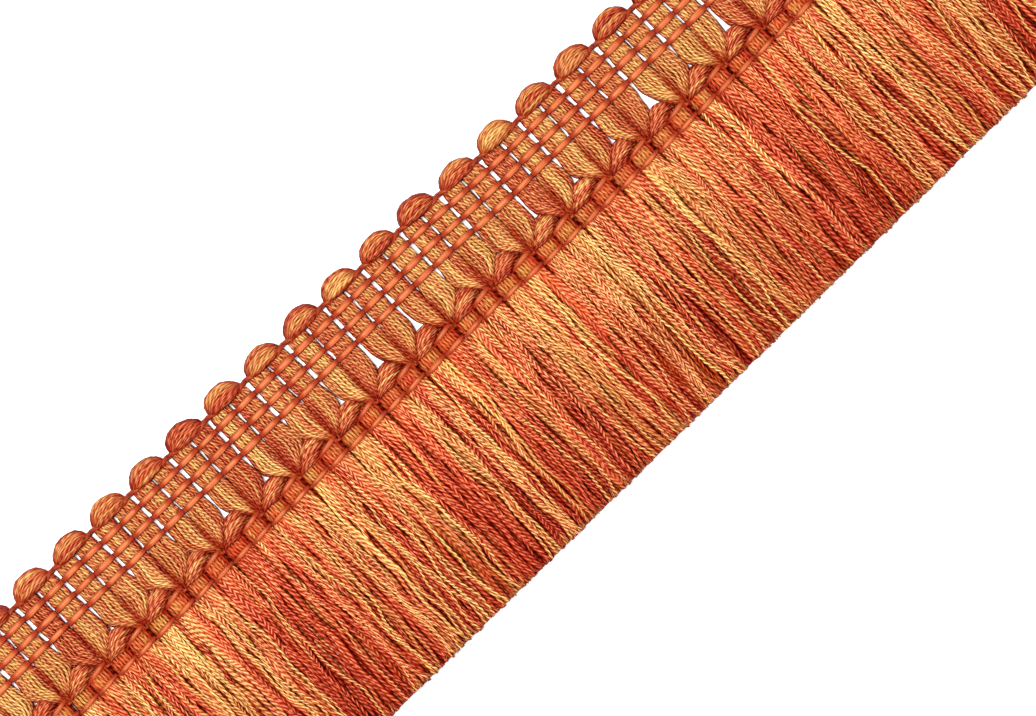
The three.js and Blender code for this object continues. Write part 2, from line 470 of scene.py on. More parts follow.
def yarnMaterial(name, finish):
    # alpha is the angle around the yarn and phi the angle of its ply. A ply is round, so the line
    # on which it faces up runs more along the yarn than the ply does: 2 alpha - phi is constant on it.
    # A painted highlight lies along that line on the top of the yarn, painted shade darkens its sides
    # and the hollows between plies, and the shade attribute mixes in more painted shade.
    material, wire, shader = newMaterial(name, finish)
    toneA, toneB = attribute(wire, "toneA", 2), attribute(wire, "toneB", 2)
    shade, number = attribute(wire, "shade", 2), attribute(wire, "yarnNumber", 2)
    phase, relief = attribute(wire, "phase", 2), attribute(wire, "relief", 2)
    around, along = tubePlace(wire)
    alpha = (around + phase) * (2 * math.pi)
    phi = (along + phase) * (2 * math.pi)
    theta = alpha * 2 - phi - math.pi / 2
    crossing, skew = theta.single("COSINE"), theta.single("SINE")
    ridge, upward = crossing.single("ABSOLUTE"), alpha.single("SINE")
    grain = finish["fibre"]
    parts = (crossing, skew + number * grain["spread"], along * grain["stretch"])
    fibre = noise(wire, parts, grain["scale"], grain["detail"])
    which = remap(wire, crossing, finish["plyEdge"])
    tone = toneB + (toneA - toneB) * which + (fibre - 0.5) * grain["tone"]
    colour = ramp(wire, finish["dyes"], tone)
    # painted shade on the sides of the yarn, away from its top
    flankShade = remap(wire, upward, finish["flankShadeUpward"], (1.0, 0.0))
    colour = blendColours(wire, "MULTIPLY", flankShade, colour, finish["flankShade"])
    # painted shade in the hollows between the plies
    for part in ("valley", "groove"):
        hollowShade = remap(wire, ridge, finish[part + "Ridge"], (1.0, 0.0)) * relief
        colour = blendColours(wire, "MULTIPLY", hollowShade, colour, finish[part])
    # painted highlight on the top of each ply, where it faces up
    paintedHighlight = remap(wire, ridge, finish["highlightRidge"]) * remap(wire, upward, finish["highlightUpward"]) * relief
    highlightTint = ramp(wire, finish["highlightRamp"], tone)
    colour = blendColours(wire, "MIX", paintedHighlight * finish["highlightAmount"], colour, highlightTint)
    # painted shade along the yarn, as its shade attribute falls
    colour = blendColours(wire, "MULTIPLY", 1 - shade, colour, finish["shadeColour"])
    rough = (1 - ridge) * finish["valleyRough"] + (fibre - 0.5) * grain["rough"] + finish["roughness"]
    height = ridge * relief * finish["plyDepth"] + fibre * finish["fibreDepth"]
    feed(wire, shader, finish, colour, rough, height)
    return material


weftFinish = dict(yarnFinish)
weftFinish["dyes"] = [
    (0.00, linear(128, 26, 8)),
    (0.20, linear(152, 46, 17)),
    (0.42, linear(166, 78, 36)),
    (0.62, linear(174, 110, 56)),
    (0.80, linear(178, 126, 54)),
    (1.00, linear(200, 162, 90)),
]
# a fainter painted highlight on the weft
weftFinish["highlightAmount"] = 0.66
weftMaterial = yarnMaterial("weftYarn", weftFinish)
skirtMaterial = yarnMaterial("skirtYarn", yarnFinish)

binderFinish = {
    # a painted highlight tint for the raised pads, the cord's own colour, and a painted shade tint
    "light": linear(182, 94, 54),
    "body": linear(146, 48, 23),
    "shadeColour": linear(124, 34, 16),
    "lines": {"around": 22.0, "along": 0.8, "spread": 13.0, "scale": 1.0, "detail": 2.0, "rough": 0.25},
    "lineEdge": (0.36, 0.64),
    "lineLight": (0.3, 1.0),
    "padShade": (0.4, 0.95),  # the light shows on the raised pad of a float
    "roughness": 0.36,
    "gloss": 0.4,
    "glossTint": linear(255, 190, 140),
    "lineDepth": 0.00008,
    "bump": 0.8,
}


def binderMaterial(name, finish):
    # flat filament with fine lines that run along the cord, with a painted highlight on the raised pad
    # of a float and painted shade that the shade attribute mixes in
    material, wire, shader = newMaterial(name, finish)
    shade, number = attribute(wire, "shade", 2), attribute(wire, "yarnNumber", 2)
    around, along = tubePlace(wire)
    fine = finish["lines"]
    parts = (around * fine["around"], along * fine["along"], number * fine["spread"])
    lines = noise(wire, parts, fine["scale"], fine["detail"])
    strip = remap(wire, lines, finish["lineEdge"], finish["lineLight"])
    pad = remap(wire, shade, finish["padShade"])
    # painted highlight on the pad, broken up by the fine lines
    body = blendColours(wire, "MIX", strip * pad, finish["body"], finish["light"])
    # painted shade as the shade attribute falls
    colour = blendColours(wire, "MIX", shade, finish["shadeColour"], body)
    rough = (lines - 0.5) * fine["rough"] + finish["roughness"]
    feed(wire, shader, finish, colour, rough, lines * finish["lineDepth"])
    return material


cordMaterial = binderMaterial("binderCord", binderFinish)
print("materials made")


# Weft: columns that open into fans, lobes over each pair, and leaves between the fans
weft = {
    "size": {"wide": 0.42, "high": 0.34},
    "uneven": 0.08,  # how far single yarns lie above or below their place
    "patch": 0.12,  # how far the dyes of whole bundles differ
    "slot": "weft_yarn",
    "nodes": ["weft_gimp"],
}


def dyes(count, middle, spread, contrast, cluster=0):
    # one dye for each ply, spread around the middle; contrast is how far the plies of a yarn differ
    base = middle + dice.normal(0, spread, count) + cluster
    other = base + dice.normal(0, contrast, count)
    return np.clip(np.stack([base, other], axis=1), 0.02, 0.98)


def roundSpots(yarns, bend):
    # places of yarns across a bundle, closer together where it rounds off at its edges, and the
    # swell of the bundle there
    part = (np.arange(yarns) + 0.5) / yarns
    spot = (1 - bend) * part + bend * (0.5 - 0.5 * np.cos(np.pi * part))
    return spot, np.sin(np.pi * part)


def mixedGroups(paths, tones, turns, crossed=0.0, **rest):
    # how tightly a yarn is twisted varies, and a share of them may be twisted the other way
    kind = dice.integers(0, len(turns), len(paths))
    other = dice.uniform(0, 1, len(paths)) < crossed
    groups = []
    for number, turn in enumerate(turns):
        for twist in (1, -1):
            pick = np.flatnonzero((kind == number) & (other == (twist < 0)))
            if len(pick) > 0:
                own = {key: value[pick] if isinstance(value, np.ndarray) else value
                       for key, value in rest.items()}
                groups.append(yarnGroup(paths[pick], tones=tones[pick], turn=turn, twist=twist, **own))
    return groups


def weaveWeft(name, groups):
    joinGroups(name, groups, weftMaterial, weft["nodes"])


column = {
    "yarns": 8,
    "turns": (2.1, 2.45, 2.8),  # lengths of one turn of the plies
    "relief": 0.7,
    "dyes": (0.63, 0.2, 0.12),
    "middleGold": 0.24,  # the middle of a column is more golden than its edges
    "points": 72,
    "edgeDrops": [3.4, 5.6, 14.8, 16.2, 18.5, 20.5, 22.2, 23.6, 24.8, 25.7, 26.8],
    "leftEdge": [4.8, 5.0, 5.0, 5.15, 5.1, 4.7, 3.75, 2.6, 1.7, 1.1, 0.9],
    "rightEdge": [4.8, 5.0, 5.0, 5.15, 5.2, 5.0, 4.4, 3.3, 2.1, 1.25, 1.0],
    "inner": [0.6, 0.52, 0.5, 0.2, 0.08, 0.06, 0.06, 0.08, 0.1, 0.12, 0.15],
    # how far the fans' yarns spread into each opening beside them, from left to right
    "closing": [0.5, 0.8, 0.95, 0.5, 0.95, 0.85, 0.1, 0.5, 0.95, 0.45, -0.3, -0.05, 0.7,
                0.95, 0.2, 0.5, 0.45, -0.3, 0.6, -0.1, 0.5, 0.8, 0.2, 0.6, 0.4],
    "closingHump": (1.0, 20.4, 2.5),
    "rounding": 0.4,
    "height": 2.25,  # of the middle of the upper yarns
    "crown": (0.35, 0.6),  # rise of the middle over the edges, and the swell that stays in place
    "rowLength": 0.8,  # a binder cord pinches and dips the yarns over this length
    "rowPinch": (0.1, 0.04),
    "rowDip": 0.4,
    "fanOpens": (15.0, 17.5),
    "fanCloses": (22.8, 25.8),
    "fanRise": (0.8, 0.2),  # how far a fan rises at its middle and sinks at its edges
    "fanUneven": 0.15,
    "footDrops": (24.2, 26.2),
    "footDip": 0.5,
    "stackWide": (2.4, 3.0),  # yarns stack as a bundle narrows towards the first, up to this many times
    "stackStart": 0.45,
    "stackStep": 0.25,
    "wander": ((7.3, 3.9), (0.1, 0.06)),
    "rowShade": 0.55,
    "footShade": (0.9, 21.5, 25.4),
    "fanLight": 0.1,
    "rimShade": (0.35, 0.6, 0.7),  # everywhere, on the inner side of a fan, and on its lower half
    "lowerHalf": (17.0, 22.0),
}


def columnPaths(yarns, height, squeeze=1.0):
    knots = column["edgeDrops"]
    drops = np.linspace(knots[0], knots[-1], column["points"])
    rows = sum(hump(drops, 1.0, row, column["rowLength"]) for row in rowDrops[:4])
    outerPinch, innerPinch = column["rowPinch"]
    edges = [np.interp(drops, knots, column[key]) - outerPinch * rows for key in ("leftEdge", "rightEdge")]
    inner = np.interp(drops, knots, column["inner"]) + innerPinch * rows
    bulge = hump(drops, *column["closingHump"])
    fan = smooth(drops, *column["fanOpens"]) * (1 - smooth(drops, *column["fanCloses"]))
    foot = smooth(drops, *column["footDrops"])
    lowerHalf = smooth(drops, *column["lowerHalf"])
    crown, level = column["crown"]
    rise, sunk = column["fanRise"]
    stackWide, stackMost = column["stackWide"]
    rimShade, innerShade, lowerShade = column["rimShade"]
    spots, swells = roundSpots(yarns, column["rounding"])
    paths, shades = [], []
    for repeat in range(trim["repeatCount"]):
        for hand in (-1, 1):
            full = 1 + column["fanUneven"] * dice.normal()
            side = (hand + 1) // 2
            edge = edges[side] + column["closing"][repeat + side] * bulge
            for yarn, (spot, swell) in enumerate(zip(spots, swells)):
                x = edge * (1 - spot) + inner * spot
                narrow = np.clip(stackWide / (edge - inner), 0, stackMost)
                stack = (yarn % 3 - 1) * column["stackStep"] * np.clip(narrow - column["stackStart"], 0, 1)
                z = height + (swell - level) * crown + weft["uneven"] * dice.normal() + stack
                z = z - column["rowDip"] * rows * squeeze
                z = z + fan * (rise * full * swell - sunk) - column["footDip"] * foot
                wander = waves(drops, *column["wander"], dice.uniform(0, 1, 2))
                paths.append(atDrop(repeatCentre(repeat) + hand * (x + wander), drops, z))
                rim = (1 - swell) * (rimShade + innerShade * (spot > 0.5) * fan + lowerShade * lowerHalf)
                shade = 1.0 + column["fanLight"] * fan - column["rowShade"] * rows
                shades.append(shade - fade(drops, *column["footShade"]) - rim)
    return np.array(paths), np.clip(np.array(shades), 0, 1)


columns, columnShades = columnPaths(column["yarns"], column["height"])
patch = np.repeat(dice.normal(0, weft["patch"], cellCount), column["yarns"])
middles = np.tile(roundSpots(column["yarns"], column["rounding"])[1], cellCount)
columnDyes = dyes(len(columns), *column["dyes"], patch + column["middleGold"] * (middles - 0.6))
weaveWeft("weft_columns", mixedGroups(columns, columnDyes, column["turns"], shade=columnShades,
                                      relief=column["relief"], **weft["size"]))


lobe = {
    "yarns": 10,
    "turns": (3.4, 4.2),
    "relief": 0.6,
    "dyes": (0.44, 0.24, 0.08),
    "points": 41,
    "half": 4.5,
    "foot": 4.1,
    "least": 0.35,  # no yarn rises above this drop
    "rise": (-0.5, 3.75),  # of the belly yarn and of the outer yarn
    "riseUneven": 0.06,
    "tilt": 0.4,
    "flatness": (1.25, 0.35),  # powers of the arc: of the belly yarn, and less for the outer yarn
    "taperIn": 0.05,
    "rounding": 0.6,
    "height": 2.5,
    "dome": 0.9,
    "belly": 0.45,
    "endDip": (0.95, 0.7),  # amount and power
    "wanderAlong": ((1.4,), (0.09,)),
    "wanderAcross": ((1.1,), (0.1,)),
    "light": 0.9,
    "endShade": (0.85, 0.4, 1.0),
    "rimShade": 0.55,
    "bellyShade": (0.3, 0.12),  # and up to which place across the lobe
}


def lobePaths(yarns, base, dome, reach=1.0):
    # arcs from foot to foot, fanned out between a belly yarn and an outer yarn
    t = np.linspace(-1, 1, lobe["points"])
    bell = np.sqrt(np.clip(1 - t ** 2, 0, 1))
    low, high = lobe["rise"]
    flat, flatter = lobe["flatness"]
    endDip, endPower = lobe["endDip"]
    bellyShade, bellySpot = lobe["bellyShade"]
    spots, swells = roundSpots(yarns, lobe["rounding"])
    paths, shades = [], []
    for repeat in range(trim["repeatCount"]):
        grow, tilt = 1 + lobe["riseUneven"] * dice.normal(), lobe["tilt"] * dice.normal()
        for spot, swell in zip(spots, swells):
            rise = (low + (high - low) * spot) * grow * reach
            curve = bell ** (flat - flatter * spot)
            x = lobe["half"] * reach * t * (1 - lobe["taperIn"] + lobe["taperIn"] * spot)
            x = x + tilt * curve * spot
            drop = lobe["foot"] - rise * curve
            z = base + (dome * swell + lobe["belly"] * (1 - spot) ** 2) * bell
            z = z - endDip * (1 - bell ** endPower) + weft["uneven"] * dice.normal()
            x = x + waves(t, *lobe["wanderAlong"], (dice.uniform(),)) * bell
            drop = drop + waves(t, *lobe["wanderAcross"], (dice.uniform(),)) * bell
            paths.append(atDrop(repeatCentre(repeat) + x, np.maximum(drop, lobe["least"]), z))
            rim = lobe["rimShade"] * (1 - swell) ** 1.5 + bellyShade * (spot < bellySpot)
            shades.append(lobe["light"] - fade(np.abs(t), *lobe["endShade"]) - rim)
    return np.array(paths), np.clip(np.array(shades), 0, 1)


lobes, lobeShades = lobePaths(lobe["yarns"], lobe["height"], lobe["dome"])
patch = np.repeat(dice.normal(0, weft["patch"], trim["repeatCount"]), lobe["yarns"])
lobeDyes = dyes(len(lobes), *lobe["dyes"], patch)
weaveWeft("weft_lobes", mixedGroups(lobes, lobeDyes, lobe["turns"], shade=lobeShades,
                                    relief=lobe["relief"], **weft["size"]))


leaf = {
    "yarns": 12,
    "turns": (2.8, 3.3),
    "relief": 0.8,
    "dyes": (0.38, 0.24, 0.12),
    "points": 40,
    # from the upper arc to the lowest: where on the leaf it lies, and the places that it runs through
    "spots": [0, 0.3, 0.55, 0.8, 1.0],
    "start": ([3.9, 2.9, 2.0, 1.1, 0.6], [22.5, 23.6, 24.6, 25.5, 26.3]),
    "top": ([6.3, 6.1, 5.6, 4.2, 3.2], [21.8, 22.9, 24.0, 25.2, 26.3]),
    "end": ([8.8, 9.3, 9.1, 7.3, 5.9], [23.0, 24.0, 25.0, 26.0, 27.0]),
    "uneven": (0.25, 0.35),  # how far whole leaves rise and lean
    "rounding": 0.3,
    "height": 2.25,
    "dome": 0.8,
    "mound": (1.05, 0.6),  # stretch and power of the rise along a leaf
    "flatPart": 0.35,
    "tuck": (1.3, 0.68, 0.98),  # its end goes under the next fan
    "lowerRise": 0.5,
    "startDip": (0.7, 0.0, 0.25),
    "wanderAlong": ((1.3,), (0.08,)),
    "wanderAcross": ((0.9,), (0.07,)),
    "light": 0.92,
    "tuckShade": (0.75, 0.6, 0.88),
    "startShade": (0.6, 0.02, 0.26),
    "rimShade": 0.55,
    "lowerShade": (0.2, 0.6, 0.9),
}


def leafPaths(yarns, base, dome):
    # arcs stacked between one fan's foot and the next fan, which they tuck under
    t = np.linspace(0, 1, leaf["points"])
    stretch, power = leaf["mound"]
    mound = np.sin(np.pi * np.clip(t * stretch, 0, 1)) ** power
    flat = leaf["flatPart"]
    spots, swells = roundSpots(yarns, leaf["rounding"])
    paths, shades = [], []
    for repeat in range(trim["repeatCount"] - 1):
        lift, lean = [size * dice.normal() for size in leaf["uneven"]]
        for spot, swell in zip(spots, swells):
            start, top, end = [np.array([np.interp(spot, leaf["spots"], line) for line in leaf[key]])
                               for key in ("start", "top", "end")]
            top = top + np.array((lean, -lift)) * (1 - spot)
            middle = 2 * top - (start + end) / 2
            x, drop = [a * (1 - t) ** 2 + 2 * b * t * (1 - t) + c * t ** 2
                       for a, b, c in zip(start, middle, end)]
            x = x + waves(t, *leaf["wanderAlong"], (dice.uniform(),))
            drop = drop + waves(t, *leaf["wanderAcross"], (dice.uniform(),))
            z = base + dome * (flat + (1 - flat) * swell) * mound - fade(t, *leaf["tuck"])
            z = z + weft["uneven"] * dice.normal()
            z = z + leaf["lowerRise"] * spot - fadeOut(t, *leaf["startDip"]) * (1 - spot)
            paths.append(atDrop(repeatCentre(repeat) + x, drop, z))
            ends = fade(t, *leaf["tuckShade"]) + fadeOut(t, *leaf["startShade"])
            rim = leaf["rimShade"] * (1 - swell) ** 1.5
            shades.append(leaf["light"] - ends - rim - fade(spot, *leaf["lowerShade"]))
    return np.array(paths), np.clip(np.array(shades), 0, 1)


leaves, leafShades = leafPaths(leaf["yarns"], leaf["height"], leaf["dome"])
leafDyes = dyes(len(leaves), *leaf["dyes"])
weaveWeft("weft_leaves", mixedGroups(leaves, leafDyes, leaf["turns"], shade=leafShades,
                                     relief=leaf["relief"], **weft["size"]))


# Coarser yarns under all of these fill the thickness and show through the gaps
under = {
    "size": {"wide": 0.54, "high": 0.5, "turn": 2.45, "step": 1.2},
    "column": {"yarns": 7, "height": 1.55, "squeeze": 0.2},
    "columnLight": 0.4,
    "columnDyes": (0.5, 0.15, 0.2),
    "lobe": {"yarns": 5, "base": 1.35, "dome": -0.3, "reach": 0.93},
    "leaf": {"yarns": 5, "base": 1.5, "dome": -0.2},
    "otherDyes": (0.45, 0.15, 0.2),
}


def coarseGroup(paths, shade, dye):
    return yarnGroup(paths, tones=dyes(len(paths), *dye), shade=shade, **under["size"])


underColumns, underShades = columnPaths(**under["column"])
underShades = np.clip(underShades + under["columnLight"], 0, 1)
underLobes, underLobeShades = lobePaths(**under["lobe"])
underLeaves, underLeafShades = leafPaths(**under["leaf"])
weaveWeft("weft_under", [
    coarseGroup(underColumns, underShades, under["columnDyes"]),
    coarseGroup(underLobes, underLobeShades, under["otherDyes"]),
    coarseGroup(underLeaves, underLeafShades, under["otherDyes"]),
])
print("weft made")


# Binder cords: a satin float over every cell, a thinner core between them, a run on the back. Lists
# of six go from the lobes down.
binder = {
    "halfWide": [0.5, 0.68, 0.68, 0.68, 0.54, 0.5],
    "height": [2.5, 3.0, 3.0, 3.0, 3.0, 3.0],
    # scales the painted light of each row's floats; lower is more painted shade
    "bright": [0.45, 1.0, 1.0, 1.0, 0.75, 0.9],
    "slope": [0.0, 0.03, 0.03, 0.03, 0.2, 0.1],  # each float climbs to the right by this much
    "upswing": (0.7, 0.0, 1.7),  # of the first row between two lobes
    "firstBelow": 0.1,
    "liftedRow": 4,  # this row lies nearer the fans, more so at every other float, which dips
    "lifted": 0.6,
    "liftedDip": 0.25,
    "uneven": 0.06,
    "float": {"high": 0.26, "sides": 8, "turn": 3.0, "step": 0.55},
    "points": 17,
    "overlap": 1.04,
    "endDip": (0.8, 3.5),  # amount and power
    "endWide": 0.72,
    "wideUneven": 0.05,
    "padMiddle": 0.08,
    "padEdge": (0.3, 0.68),
    "padLight": (0.45, 0.55),  # everywhere, and more on the pad
    "endShade": (0.45, 0.82, 1.0),
    "core": {"high": 0.36, "sides": 6, "turn": 3.0, "step": 1.4},
    "coreWide": 0.7,
    "coreBelow": 1.1,
    "coreShade": 0.45,
    "back": {"wide": 0.6, "high": 0.2, "sides": 6, "turn": 3.0, "step": 1.4},
    "backHeight": 0.36,
    "backShade": 0.8,
    "weave": 0.12,
    "margin": 0.1,
    "slot": "binder_cord",
}


def rowDrop(row, x):
    # the first row swings up where it crosses between two lobes
    drop = np.full_like(x, rowDrops[row])
    if row == 0:
        pitch = trim["repeatPitch"]
        fromDip = (x + halfLength + pitch / 2) % pitch - pitch / 2
        drop = drop + binder["firstBelow"] - hump(fromDip, *binder["upswing"])
    return drop


def floatPaths(row):
    t = np.linspace(-1, 1, binder["points"])
    reach = cellPitch / 2 * binder["overlap"]
    endDip, endPower = binder["endDip"]
    plainLight, padLight = binder["padLight"]
    rounded = binder["endWide"] + (1 - binder["endWide"]) * np.sqrt(np.clip(1 - t ** 2, 0, 1))
    paths, scales, shades = [], [], []
    for cell in range(cellCount):
        x = cellCentre(cell) + reach * t
        drop = rowDrop(row, x) - binder["slope"][row] * reach * t + binder["uneven"] * dice.normal()
        height = binder["height"][row]
        if row == binder["liftedRow"]:
            drop = drop - binder["lifted"] * (1 - 0.5 * (cell % 2))
            height = height - binder["liftedDip"] - binder["lifted"] * (cell % 2)
        paths.append(atDrop(x, drop, height - endDip * np.abs(t) ** endPower))
        scales.append(rounded * (1 + binder["wideUneven"] * dice.normal()))
        pad = 1 - smooth(np.abs(t + binder["padMiddle"] * dice.normal()), *binder["padEdge"])
        light = plainLight + padLight * pad - fade(np.abs(t), *binder["endShade"])
        shades.append(binder["bright"][row] * light)
    return np.array(paths), np.array(scales), np.clip(np.array(shades), 0, 1)


def corePaths(row, height, shade):
    end = halfLength - binder["margin"]
    x = np.linspace(-end, end, cellCount * 4 + 1)
    weave = binder["weave"] * np.cos(2 * np.pi * x / cellPitch)
    return atDrop(x, rowDrop(row, x), height + weave)[None], np.full((1, len(x)), shade)


for row in range(len(rowDrops)):
    wide = binder["halfWide"][row]
    paths, scales, shades = floatPaths(row)
    plain = np.full((len(paths), 2), 0.5)  # the cord's finish reads no dye
    core, coreShade = corePaths(row, binder["height"][row] - binder["coreBelow"], binder["coreShade"])
    joinGroups(f"binder_float_{row + 1}", [
        yarnGroup(paths, wide, tones=plain, shade=shades, taper=scales, **binder["float"]),
        yarnGroup(core, wide * binder["coreWide"], tones=plain[:1], shade=coreShade, **binder["core"]),
    ], cordMaterial, [f"face_cord_{row + 1}"])
    back, backShade = corePaths(row, binder["backHeight"], binder["backShade"])
    joinGroups(f"binder_back_{row + 1}", [
        yarnGroup(back, tones=plain[:1], shade=backShade, **binder["back"]),
    ], cordMaterial, [f"back_cord_{row + 1}"])
print("binder cords made")


# Skirt: layers of two-ply strands bound at their roots, with frayed cut ends. Places along a strand
# are drops, measured down from the lobe tops.
skirt = {
    "size": {"wide": 0.46, "high": 0.36},
    "turns": (2.7, 3.05, 3.4),
    "crossed": 0.22,  # share of strands twisted the other way
    "reliefUneven": 0.2,
    "reliefLimits": (0.5, 1.3),
    "boundRelief": (0.6, 28.8, 31.0),  # the plies of the bound roots stand out this much less
    "bound": 30.0,  # below this drop the strands hang free
    "free": 46.0,
    "rootEnd": 32.0,
    "points": (22, 70),
    "tipShort": 0.35,
    "cutUneven": 0.16,
    "lockWidths": (4.0, 9.5),
    "lockShift": 1.25,  # how far a lock of strands leans by its tips
    "lockGather": (0.06, 0.27),
    "lockLoosens": (0.4, 60.0, 76.0),
    "lockLevel": 0.22,
    "lockCrown": 0.4,
    "lockParts": (32.0, 42.0),
    "lockPartLength": 16.0,
    "lockShade": 0.18,
    "lockEdgeShade": 0.5,
    "cellShift": 0.14,  # every other tuft stands this much to one side
    "pairing": 0.07,
    "rootUneven": 0.14,
    "spreads": (29.6, 36.0),
    "ownLean": 0.48,
    "hook": 0.4,  # the cut ends bend sideways
    "hookLength": (5.0, 1.0),  # from before the tip to past it
    "wander": ((29.0, 12.5, 6.3), (0.56, 0.22, 0.07)),
    "wanderStarts": (30.0, 44.0),
    "level": 0.18,
    "levelStarts": (30.0, 36.0),
    "shoulder": (0.3, 31.8, 2.2),
    "shoulderStarts": (29.6, 30.6),
    "thickUneven": (0.09, 0.06),  # from strand to strand, and along a strand
    "thickLength": 9.0,
    "tipTaper": (0.3, 3.0),  # amount and length
    "light": 1.12,
    "lowerShade": (0.52, 36.0, 74.0),
    "hiddenShade": 0.3,  # of a strand that lies lower than its neighbours
    "hiddenLimits": (-0.2, 1.6),
    "hiddenStarts": (32.0, 38.0),
    "slot": "skirt_yarn",
}
layers = {  # heights are those of the strands' roots and tips; loose scales all that is random
    "front": {"perCell": 7, "heights": (2.45, 2.15), "startDrop": 25.2, "squeeze": 0.88, "beads": True},
    "middle": {"perCell": 6, "heights": (2.14, 1.84), "startDrop": 28.6, "squeeze": 0.92},
    "back": {"perCell": 6, "heights": (0.85, 0.7), "startDrop": 26.4, "squeeze": 0.98, "loose": 0.04},
}
beadStrip = {  # the roots bulge into beads between the last two cords
    "mound": (0.5, 27.9, 1.0),
    "moundRound": 2.4,
    "cordDip": (0.5, 29.4, 0.6),
    "topDip": (0.7, 25.6, 26.8),
    "cordShade": (0.4, 29.6, 0.6),
    "topShade": (0.35, 26.4, 27.2),
    "sideShade": (0.6, 0.26, 0.5),
    "leeShade": (0.45, 0.05, 0.45),
    "sideEnds": (29.8, 31.5),
    "allShade": (0.4, 28.8, 30.2),
}


def hung(drop):
    # how far down its free length a strand is
    return np.clip((drop - skirt["bound"]) / skirt["free"], 0, 1)


def makeLocks():
    # neighbouring strands hang together in locks; each lock leans, narrows and rises in its own way
    edges = [-halfLength - 1.0]
    while edges[-1] < halfLength:
        edges.append(edges[-1] + dice.uniform(*skirt["lockWidths"]))
    edges = np.array(edges)
    count = len(edges) - 1
    return {
        "edges": edges, "middle": (edges[1:] + edges[:-1]) / 2, "half": (edges[1:] - edges[:-1]) / 2,
        "shift": dice.normal(0, skirt["lockShift"], count),
        "gather": dice.uniform(*skirt["lockGather"], count),
        "level": dice.normal(0, skirt["lockLevel"], count),
        "from": dice.uniform(*skirt["lockParts"], count),
        "dim": dice.uniform(0, skirt["lockShade"], count),
    }


def hang(locks, x, drop):
    # where a strand that starts at x is led by its lock, how it rises, and how dark it lies there
    own = np.clip(np.searchsorted(locks["edges"], x) - 1, 0, len(locks["middle"]) - 1)
    middle, half, start = locks["middle"][own], locks["half"][own], locks["from"][own]
    side = (x - middle) / half
    parted = smooth(drop, start, start + skirt["lockPartLength"])
    gather = locks["gather"][own] * parted * (1 - fade(drop, *skirt["lockLoosens"]))
    shifted = middle + (x - middle) * (1 - gather) + locks["shift"][own] * hung(drop) ** 1.4
    rise = (locks["level"][own] + skirt["lockCrown"] * (0.5 - side ** 2)) * parted
    dark = (skirt["lockEdgeShade"] * np.abs(side) ** 3 + locks["dim"][own]) * parted
    return shifted, rise, dark


def beadRise(drop, spot):
    mound = hump(drop, *beadStrip["mound"]) * (1 - beadStrip["moundRound"] * spot ** 2)
    return mound - hump(drop, *beadStrip["cordDip"]) - fadeOut(drop, *beadStrip["topDip"])


def boundShade(drop, spot):
    # how dark the bound roots are, more so at the sides of each tuft and most at its right side
    shade = hump(drop, *beadStrip["cordShade"]) + fadeOut(drop, *beadStrip["topShade"])
    sides = fade(abs(spot), *beadStrip["sideShade"]) + fade(spot, *beadStrip["leeShade"])
    shade = shade + sides * (1 - smooth(drop, *beadStrip["sideEnds"]))
    return shade + fadeOut(drop, *beadStrip["allShade"])


def strandPaths(perCell, heights, startDrop, squeeze, beads=False, loose=1.0):
    rootHeight, tipHeight = heights
    rootPoints, freePoints = skirt["points"]
    root = np.linspace(startDrop, skirt["rootEnd"], rootPoints)
    free = np.linspace(0, 1, freePoints)[1:]
    beforeTip, afterTip = skirt["hookLength"]
    thickUneven, thickWaves = skirt["thickUneven"]
    taper, taperLength = skirt["tipTaper"]
    locks = makeLocks()
    paths, shades, tapers = [], [], []
    for cell in range(cellCount):
        for strand in range(perCell):
            spot = (strand + 0.5) / perCell - 0.5
            tip = trim["tipDrop"] + dice.normal(0, skirt["cutUneven"]) * loose - skirt["tipShort"]
            drop = np.concatenate([root, skirt["rootEnd"] + (tip - skirt["rootEnd"]) * free])
            down = hung(drop)
            rootX = cellCentre(cell) + spot * cellPitch * squeeze
            rootX = rootX + skirt["cellShift"] * (2 * (cell % 2) - 1)
            pair = skirt["pairing"] * (1 if strand % 2 == 0 else -1)
            freeX = cellCentre(cell) + spot * cellPitch + pair + dice.normal(0, skirt["rootUneven"]) * loose
            led, rise, dark = hang(locks, freeX, drop)
            led = freeX + (led - freeX) * loose
            spread = smooth(drop, *skirt["spreads"])
            x = rootX * (1 - spread) + led * spread
            wander = waves(drop, *skirt["wander"], dice.uniform(0, 1, 3)) * loose
            x = x + wander * smooth(drop, *skirt["wanderStarts"])
            x = x + dice.normal(0, skirt["ownLean"]) * down ** 1.3 * loose
            x = x + dice.normal(0, skirt["hook"]) * smooth(drop, tip - beforeTip, tip + afterTip) * loose
            level = dice.normal(0, skirt["level"])
            z = rootHeight + (tipHeight - rootHeight) * down + rise * loose
            z = z + level * smooth(drop, *skirt["levelStarts"])
            z = z + hump(drop, *skirt["shoulder"]) * smooth(drop, *skirt["shoulderStarts"])
            if beads:
                z = z + beadRise(drop, spot)
            paths.append(atDrop(x, drop, z))
            hidden = np.clip(-level / skirt["level"], *skirt["hiddenLimits"])
            hidden = hidden * smooth(drop, *skirt["hiddenStarts"])
            shade = skirt["light"] - boundShade(drop, spot) - fade(drop, *skirt["lowerShade"])
            shades.append(shade - dark - skirt["hiddenShade"] * hidden)
            thick = 1 + thickUneven * dice.normal()
            thick = thick + thickWaves * waves(drop, (skirt["thickLength"],), (1,), (dice.uniform(),))
            tapers.append(thick - taper * loose * smooth(drop, tip - taperLength, tip))
    return np.array(paths), np.clip(np.array(shades), 0, 1), np.array(tapers)


strandDye = {
    "middle": 0.54,
    "bands": ((47.0, 19.0), (0.04, 0.06), (0.21, 0.77)),
    "cellSpread": 0.13,
    "fresh": 0.55,  # the chance that a strand's dye isn't that of the strand before it
    "near": 0.06,
    "frontSpread": 0.31,
    "plies": 0.1,
    "drift": (-0.012, 0.06),
    "places": 12,
    "boundMiddle": 0.6,  # the bound roots are more alike, and their spread grows back by these shares
    "boundSpread": ((0.2,), (0.6,)),
}


